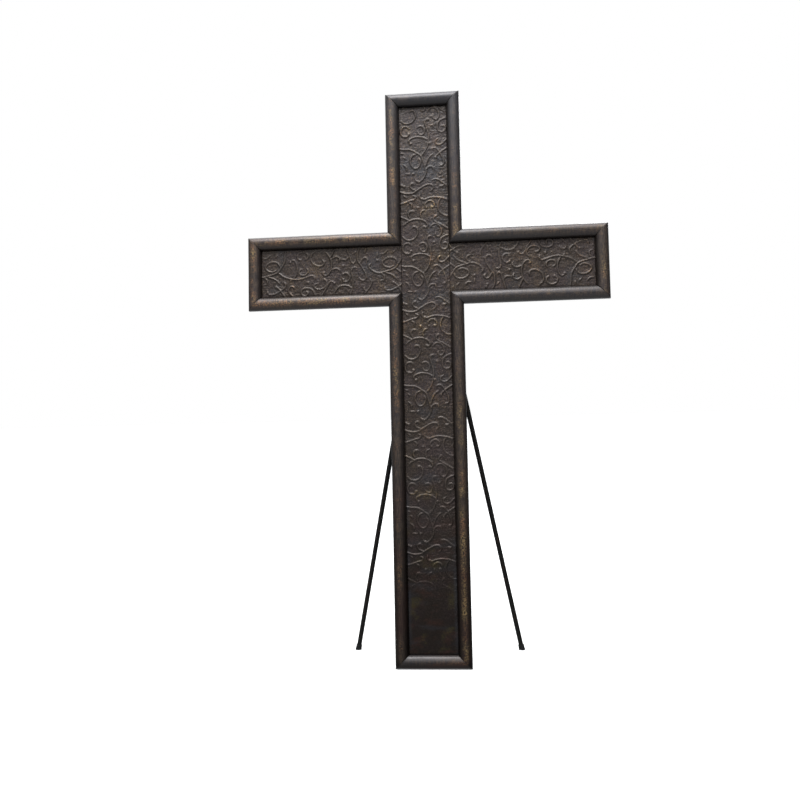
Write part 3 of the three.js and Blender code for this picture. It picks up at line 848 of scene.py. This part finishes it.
def build_sheets(material):
    tile = vine_tile()
    inside = HALF_LIMB - RAIL_WIDTH - SHEET_EDGE_GAP
    full = lambda z: np.ones_like(z)
    build_sheet(
        "panel_stem",
        (-inside, RAIL_WIDTH + SHEET_EDGE_GAP),
        (inside, HEIGHT - RAIL_WIDTH - SHEET_EDGE_GAP),
        lambda x, z: (x + STRIP / 2, STEM_PATTERN_TOP - z),
        lambda z: smoothstep(z, FADE_END, FADE_START),
        3, tile, material,
    )
    end = HALF_SPAN - RAIL_WIDTH - SHEET_EDGE_GAP
    butt = inside + 2 * SHEET_EDGE_GAP
    build_sheet(
        "panel_arm_left",
        (-end, ARM_AXIS - inside),
        (-butt, ARM_AXIS + inside),
        lambda x, z: (STRIP / 2 - ARM_PATTERN_SHIFT - (z - ARM_AXIS), ARM_PATTERN_START - x),
        full, 5, tile, material,
    )
    build_sheet(
        "panel_arm_right",
        (butt, ARM_AXIS - inside),
        (end, ARM_AXIS + inside),
        lambda x, z: (STRIP / 2 - ARM_PATTERN_SHIFT + (z - ARM_AXIS), ARM_PATTERN_START + x),
        full, 9, tile, material,
    )


# Plates, bars and turned pieces

def bevelled_plate(name, low, high, corner, edge):
    """A plate with rounded corners and softened edges, in the leaning frame."""
    builder = bmesh.new()
    size = [b - a for a, b in zip(low, high)]
    middle = [(a + b) / 2 for a, b in zip(low, high)]
    bmesh.ops.create_cube(builder, size=1, matrix=Matrix.Translation(middle) @ Matrix.Diagonal((*size, 1)))
    if corner:
        upright = [e for e in builder.edges if abs(e.verts[0].co.y - e.verts[1].co.y) > 1e-6]
        bmesh.ops.bevel(builder, geom=upright, offset=corner, segments=6, affect="EDGES", profile=0.5)
    rims = [e for e in builder.edges if abs(e.verts[0].co.y - e.verts[1].co.y) < 1e-6]
    bmesh.ops.bevel(builder, geom=rims, offset=edge, segments=3, affect="EDGES", profile=0.5)
    mesh = bpy.data.meshes.new(name)
    builder.to_mesh(mesh)
    builder.free()
    placed = stand(np.array([v.co for v in mesh.vertices]))
    mesh.vertices.foreach_set("co", placed.astype(np.float32).ravel())
    mesh.update()
    made = bpy.data.objects.new(name, mesh)
    bpy.context.scene.collection.objects.link(made)
    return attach(made, "root")


def build_backs(material):
    half = HALF_LIMB - BACK_INSET
    far = BACK_NEAR + BACK_THICKNESS
    end = HALF_SPAN - BACK_INSET
    low, high = ARM_LOW + BACK_INSET, ARM_HIGH - BACK_INSET
    areas = {
        "back_stem": ((-half, BACK_INSET), (half, HEIGHT - BACK_INSET)),
        "back_arm_left": ((-end, low), (-half - BACK_GAP, high)),
        "back_arm_right": ((half + BACK_GAP, low), (end, high)),
    }
    for name, ((left, bottom), (right, top)) in areas.items():
        plate = bevelled_plate(name + "_sheet", (left, BACK_NEAR, bottom), (right, far, top), 0, BACK_EDGE)
        dress(plate, "back_paint", material, name)


def turned(name, profile, start, direction, sides):
    """A closed piece turned from a [radius, height] profile that starts and ends on its axis."""
    direction = Vector(direction).normalized()
    turn = Vector((0, 0, 1)).rotation_difference(direction).to_matrix()
    angles = np.linspace(0, 2 * math.pi, sides, endpoint=False)
    points, faces = [tuple(turn @ Vector((0, 0, profile[0][1])))], []
    rings = profile[1:-1]
    for radius, height in rings:
        for angle in angles:
            place = Vector((radius * math.cos(angle), radius * math.sin(angle), height))
            points.append(tuple(turn @ place))
    points.append(tuple(turn @ Vector((0, 0, profile[-1][1]))))
    for side in range(sides):
        beside = (side + 1) % sides
        faces.append((0, 1 + beside, 1 + side))
        for ring in range(len(rings) - 1):
            here = 1 + ring * sides
            faces.append((here + side, here + beside, here + sides + beside, here + sides + side))
        last = 1 + (len(rings) - 1) * sides
        faces.append((last + side, last + beside, len(points) - 1))
    return piece_from(name, np.array(points) + np.array(start), faces)


def leg_axis(side):
    """A leg's top and its point on the ground, in the frame of the whole part, and the way down it."""
    behind = BRACKET_FACE + SOCKET_RADIUS - SOCKET_SINK
    top = Vector(stand((BRACKET_OFFSET + side * SOCKET_SPREAD, behind, SOCKET_HEIGHT)))
    ground = Vector((FOOT_OFFSET + side * FOOT_SPREAD, FOOT_REACH, 0))
    return top, ground, (ground - top).normalized()


def sharpen(piece, degrees=35):
    """Keeps the creases of a smooth-shaded piece crisp."""
    piece.data.set_sharp_from_angle(angle=math.radians(degrees))


def build_legs(material):
    for name, side in (("leg_left", -1), ("leg_right", 1)):
        top, ground, down = leg_axis(side)
        length = (ground - top).length - TIP_FLOOR - LEG_END_GAP
        narrow = LEG_RADIUS - LEG_CHAMFER
        rings = np.linspace(5 * LEG_CHAMFER, length - 5 * LEG_CHAMFER, LEG_RINGS)
        profile = [(0, 0), (narrow, 0), (LEG_RADIUS, LEG_CHAMFER)]
        profile += [(LEG_RADIUS, distance) for distance in rings]
        profile += [(LEG_RADIUS, length - LEG_CHAMFER), (narrow, length), (0, length)]
        bar = turned(name + "_round_bar", profile, top, down, LEG_SIDES)
        sharpen(bar)
        dress(bar, "leg_black", material, name)


def build_bracket(material):
    """The plate behind the crossing, with two round sockets and a weld bead along each of them."""
    middle = SOCKET_HEIGHT - SOCKET_LENGTH / 2
    plate = bevelled_plate(
        "leg_bracket_plate",
        (BRACKET_OFFSET - BRACKET_WIDTH / 2, BRACKET_NEAR, middle - BRACKET_TALL / 2),
        (BRACKET_OFFSET + BRACKET_WIDTH / 2, BRACKET_FACE, middle + BRACKET_TALL / 2),
        BRACKET_ROUND, BRACKET_EDGE,
    )
    dress(plate, "leg_black", material, "leg_bracket")
    for word, side in (("left", -1), ("right", 1)):
        top, _, down = leg_axis(side)
        rounded = SOCKET_RADIUS - SOCKET_ROUND
        end = SOCKET_LENGTH - SOCKET_CAP
        profile = [
            (0, -SOCKET_CAP), (rounded, -SOCKET_CAP), (SOCKET_RADIUS, -SOCKET_CAP + SOCKET_ROUND),
            (SOCKET_RADIUS, end - SOCKET_ROUND), (rounded, end), (BORE_RADIUS, end),
            (BORE_RADIUS, -LEG_END_GAP), (0, -LEG_END_GAP),
        ]
        socket = turned(f"leg_socket_{word}", profile, top, down, LEG_SIDES)
        sharpen(socket)
        dress(socket, "leg_black", material, "leg_bracket")
        build_weld(f"leg_weld_{word}", side, material)


def build_weld(name, side, material):
    """A rippled weld bead on each side of a socket, where it meets the plate."""
    down = leg_axis(side)[2]
    lean_down = Matrix.Rotation(LEAN, 3, "X") @ down
    rate = lean_down.x / -lean_down.z
    points, faces = [], []
    for flank in (-1, 1):
        first = len(points)
        for step in range(WELD_STEPS + 1):
            share = step / WELD_STEPS
            drop = SOCKET_LENGTH * (WELD_START + WELD_RUN * share)
            swell = math.sin(math.pi * min(1, WELD_TAPER * min(share, 1 - share)) / 2)
            ripple = 1 + WELD_RIPPLE * math.cos(2 * math.pi * share * WELD_RIPPLES)
            radius = WELD_RADIUS * max(WELD_LEAST, swell) * ripple
            x = BRACKET_OFFSET + side * SOCKET_SPREAD + rate * drop + flank * SOCKET_RADIUS * WELD_FLANK
            for corner in range(WELD_SIDES):
                angle = 2 * math.pi * corner / WELD_SIDES
                back = BRACKET_FACE + WELD_SINK + radius * math.sin(angle)
                points.append((x + radius * math.cos(angle), back, SOCKET_HEIGHT - drop))
        for step in range(WELD_STEPS):
            for corner in range(WELD_SIDES):
                here = first + step * WELD_SIDES + corner
                beside = first + step * WELD_SIDES + (corner + 1) % WELD_SIDES
                faces.append((here, beside, beside + WELD_SIDES, here + WELD_SIDES))
        last = first + WELD_STEPS * WELD_SIDES
        faces.append(tuple(first + corner for corner in range(WELD_SIDES - 1, -1, -1)))
        faces.append(tuple(last + corner for corner in range(WELD_SIDES)))
    bead = piece_from(name, stand(points), faces)
    dress(bead, "leg_black", material, "leg_bracket")


def build_tips(material):
    """Rubber cups on the legs' ends, cut level where they stand on the ground."""
    for name, side in (("foot_left", -1), ("foot_right", 1)):
        _, ground, down = leg_axis(side)
        profile = [(0, -TIP_FLOOR), (TIP_BASE_RADIUS, -TIP_FLOOR), (TIP_BASE_RADIUS, TIP_WIDE_HEIGHT)]
        profile += [(TIP_TOP_RADIUS + wider, height) for wider, height in TIP_STEPS]
        profile += [(BORE_RADIUS, TIP_HEIGHT), (BORE_RADIUS, TIP_FLOOR), (0, TIP_FLOOR)]
        tip = turned(name + "_rubber_tip", profile, ground, -down, TIP_SIDES)
        builder = bmesh.new()
        builder.from_mesh(tip.data)
        everything = list(builder.verts) + list(builder.edges) + list(builder.faces)
        cut = bmesh.ops.bisect_plane(builder, geom=everything, plane_co=(0, 0, 0), plane_no=(0, 0, -1),
                                     clear_outer=True)
        rim = [edge for edge in cut["geom_cut"] if isinstance(edge, bmesh.types.BMEdge)]
        bmesh.ops.contextual_create(builder, geom=rim)
        bmesh.ops.recalc_face_normals(builder, faces=builder.faces)
        builder.to_mesh(tip.data)
        builder.free()
        sharpen(tip)
        dress(tip, "tip_rubber", material, name)


# Stage and camera

FLOOR_REACH = 30
FLOOR_GLOW = 0.25
SKY_STRENGTH = 2.6
SKY_TINT = (0.97, 0.985, 1)
# The sky's brightness, from straight below at 0 to straight above at 1
SKY_STOPS = [(0.0, 0.22), (0.42, 0.20), (0.50, 0.07), (0.62, 0.12), (0.80, 0.38), (0.92, 0.85), (1.0, 1.0)]
# Each light's name, place, target, width, height and power
SOFTBOXES = [
    ("overhead", (-0.2, -0.8, 3.0), (0, 0, 1.0), 1.4, 1.2, 42),
    ("behind", (0.7, 2.4, 2.2), (0, 0, 0.8), 1.4, 1.4, 30),
]
# Darker toward the sides: from, to, brightness there
SKY_LEFT = (-0.95, -0.35, 0.50, 1.0)
SKY_RIGHT = (0.20, 0.90, 1.0, 0.30)
FLOOR_COLOURS = ((0.78, 0.78, 0.78), (0.80, 0.80, 0.795))
CAMERA_PLACE = (0.1590, -2.3013, 0.6875)
CAMERA_LENS = 40.5
CAMERA_TURN = math.radians(5.68)
CAMERA_TILT = math.radians(90.06)
CAMERA_ROLL = math.radians(-1.51)


def build_stage():
    """A plain pale floor under an overcast sky, which is dim below for what the paint reflects."""
    scene = bpy.context.scene
    mesh = bpy.data.meshes.new("floor")
    corners = [(x * FLOOR_REACH, y * FLOOR_REACH, 0) for x, y in ((-1, -1), (1, -1), (1, 1), (-1, 1))]
    mesh.from_pydata(corners, [], [(0, 1, 2, 3)])
    floor = bpy.data.objects.new("floor", mesh)
    scene.collection.objects.link(floor)
    floor.visible_diffuse = False
    floor.visible_glossy = False
    pale, tree, shader = new_material("pale_floor", metallic=0.0, specular=0.1)
    place = place_in_metres(tree)
    clouds = between(tree, noise_of(tree, place, 3), 0.3, 0.7)
    tint = mixed(tree, clouds, *FLOOR_COLOURS)
    tree.links.new(tint, shader.inputs["Base Color"])
    shader.inputs["Roughness"].default_value = 0.9
    shader.inputs["Emission Color"].default_value = (1, 1, 1, 1)
    shader.inputs["Emission Strength"].default_value = FLOOR_GLOW
    mesh.materials.append(pale)

    world = bpy.data.worlds.new("overcast")
    scene.world = world
    world.use_nodes = True
    tree = world.node_tree
    tree.nodes.clear()
    way = add_node(tree, "ShaderNodeTexCoord").outputs["Generated"]
    ramp = add_node(tree, "ShaderNodeValToRGB", {"Fac": between(tree, part_of(tree, way, "Z"), -1, 1)})
    ramp.color_ramp.interpolation = "LINEAR"
    elements = ramp.color_ramp.elements
    while len(elements) < len(SKY_STOPS):
        elements.new(0.5)
    for element, (position, grey) in zip(elements, SKY_STOPS):
        element.position = position
        element.color = (*(grey * tint for tint in SKY_TINT), 1)
    left = between(tree, part_of(tree, way, "X"), *SKY_LEFT)
    right = between(tree, part_of(tree, way, "X"), *SKY_RIGHT)
    strength = product(tree, left, right, SKY_STRENGTH)
    sky = add_node(tree, "ShaderNodeBackground", {"Color": ramp.outputs["Color"], "Strength": strength})
    paper = add_node(tree, "ShaderNodeBackground", {"Color": (1, 1, 1, 1), "Strength": 1.0})
    is_seen = add_node(tree, "ShaderNodeLightPath").outputs["Is Camera Ray"]
    both = add_node(tree, "ShaderNodeMixShader", {0: is_seen, 1: sky.outputs[0], 2: paper.outputs[0]})
    add_node(tree, "ShaderNodeOutputWorld", {"Surface": both.outputs[0]})
    scene.view_settings.view_transform = "Standard"


def add_softbox(name, place, target, width, height, power):
    light = bpy.data.lights.new(name, "AREA")
    light.shape = "RECTANGLE"
    light.size = width
    light.size_y = height
    light.energy = power
    lamp = bpy.data.objects.new(name, light)
    lamp.location = place
    lamp.rotation_euler = (Vector(target) - Vector(place)).to_track_quat("-Z", "Y").to_euler()
    bpy.context.scene.collection.objects.link(lamp)


def build_camera():
    camera = bpy.data.cameras.new("camera")
    camera.lens = CAMERA_LENS
    camera.sensor_width = 36
    viewer = bpy.data.objects.new("camera", camera)
    viewer.location = CAMERA_PLACE
    turn = Matrix.Rotation(CAMERA_TURN, 4, "Z") @ Matrix.Rotation(CAMERA_TILT, 4, "X")
    turn = turn @ Matrix.Rotation(CAMERA_ROLL, 4, "Z")
    viewer.rotation_euler = turn.to_euler()
    bpy.context.scene.collection.objects.link(viewer)
    bpy.context.scene.camera = viewer


def build_cross():
    rail_material = rail_paint()
    for index in range(len(CORNERS)):
        build_rail(index, rail_material)
    build_sheets(sheet_paint())
    build_backs(back_paint())
    black = leg_paint()
    build_bracket(black)
    build_legs(black)
    build_tips(rubber())


build_camera()
build_stage()
for softbox in SOFTBOXES:
    add_softbox(*softbox)
build_cross()
